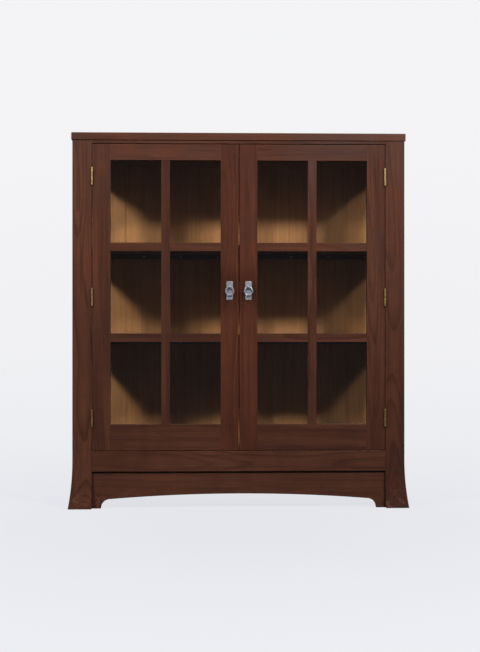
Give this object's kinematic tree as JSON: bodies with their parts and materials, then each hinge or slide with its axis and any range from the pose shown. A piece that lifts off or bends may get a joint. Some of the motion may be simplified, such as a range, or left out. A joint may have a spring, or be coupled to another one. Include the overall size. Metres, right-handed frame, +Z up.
{
  "type": "china cabinet",
  "caption": "Free-standing wooden china cabinet with two glazed and divided doors, glazed sides, two shelves, an arched toe board and flared feet.",
  "frame": {"origin": "on the floor, in the middle of the cabinet's width and depth", "axes": "+Z up, doors face -Y, +X to the right of someone who faces the doors"},
  "size_m": [1.272, 0.396, 1.4],
  "materials": {
    "outer_wood": "dark reddish-brown stain, satin wax",
    "inner_wood": "lighter orange-brown, thin satin varnish",
    "glass": "clear window glass",
    "pull_metal": "aged pewter grey, hammered",
    "hinge_brass": "aged brass, satin",
    "screw_steel": "dull zinc",
    "catch_shell": "dark brown, satin"
  },
  "bodies": {
    "cabinet": {"top_board": "outer_wood", "left_front_post": "outer_wood", "right_front_post": "outer_wood", "left_back_post": "outer_wood", "right_back_post": "outer_wood", "left_side_top_rail": "outer_wood", "right_side_top_rail": "outer_wood", "left_side_bottom_rail": "outer_wood", "right_side_bottom_rail": "outer_wood", "left_side_muntins": "outer_wood", "right_side_muntins": "outer_wood", "left_side_glass": "glass", "right_side_glass": "glass", "left_side_beads": "outer_wood", "right_side_beads": "outer_wood", "front_top_rail": "outer_wood", "front_bottom_rail": "outer_wood", "toe_board": "outer_wood", "back_top_rail": "inner_wood", "back_bottom_rail": "inner_wood", "back_boards": "inner_wood", "bottom_board": "outer_wood", "bottom_cleats": "inner_wood", "upper_shelf": "outer_wood", "lower_shelf": "outer_wood", "shelf_bearers": "outer_wood", "cleat_screws": "screw_steel", "top_screws": "screw_steel", "case_hinge_leaves": "hinge_brass", "case_hinge_screws": "hinge_brass", "hinge_pins": "hinge_brass", "magnetic_catches": "catch_shell"},
    "left_door": {"left_door_hinge_stile": "outer_wood", "left_door_meeting_stile": "outer_wood", "left_door_top_rail": "outer_wood", "left_door_bottom_rail": "outer_wood", "left_door_upright_muntin": "outer_wood", "left_door_upper_muntin": "outer_wood", "left_door_lower_muntin": "outer_wood", "left_door_glass": "glass", "left_door_beads": "outer_wood", "left_door_hinge_leaves": "hinge_brass", "left_door_screws": "hinge_brass", "left_door_strike": "screw_steel", "left_pull_plate": "pull_metal"},
    "right_door": {"right_door_hinge_stile": "outer_wood", "right_door_meeting_stile": "outer_wood", "right_door_top_rail": "outer_wood", "right_door_bottom_rail": "outer_wood", "right_door_upright_muntin": "outer_wood", "right_door_upper_muntin": "outer_wood", "right_door_lower_muntin": "outer_wood", "right_door_glass": "glass", "right_door_beads": "outer_wood", "right_door_hinge_leaves": "hinge_brass", "right_door_screws": "hinge_brass", "right_door_strike": "screw_steel", "right_pull_plate": "pull_metal"},
    "left_ring": {"left_pull_ring": "pull_metal"},
    "right_ring": {"right_pull_ring": "pull_metal"}
  },
  "joints": [
    {"name": "left_door_hinge", "type": "hinge", "parent": "cabinet", "child": "left_door", "pos_m": [-0.547, -0.1863, 0.787], "axis": [0, 0, -1], "range_deg": [0, 170]},
    {"name": "right_door_hinge", "type": "hinge", "parent": "cabinet", "child": "right_door", "pos_m": [0.547, -0.1863, 0.787], "axis": [0, 0, 1], "range_deg": [0, 170]},
    {"name": "left_ring_swing", "type": "hinge", "parent": "left_door", "child": "left_ring", "pos_m": [-0.035, -0.191, 0.825], "axis": [-1, 0, 0], "range_deg": [-8, 180]},
    {"name": "right_ring_swing", "type": "hinge", "parent": "right_door", "child": "right_ring", "pos_m": [0.035, -0.191, 0.825], "axis": [-1, 0, 0], "range_deg": [-8, 180]}
  ]
}
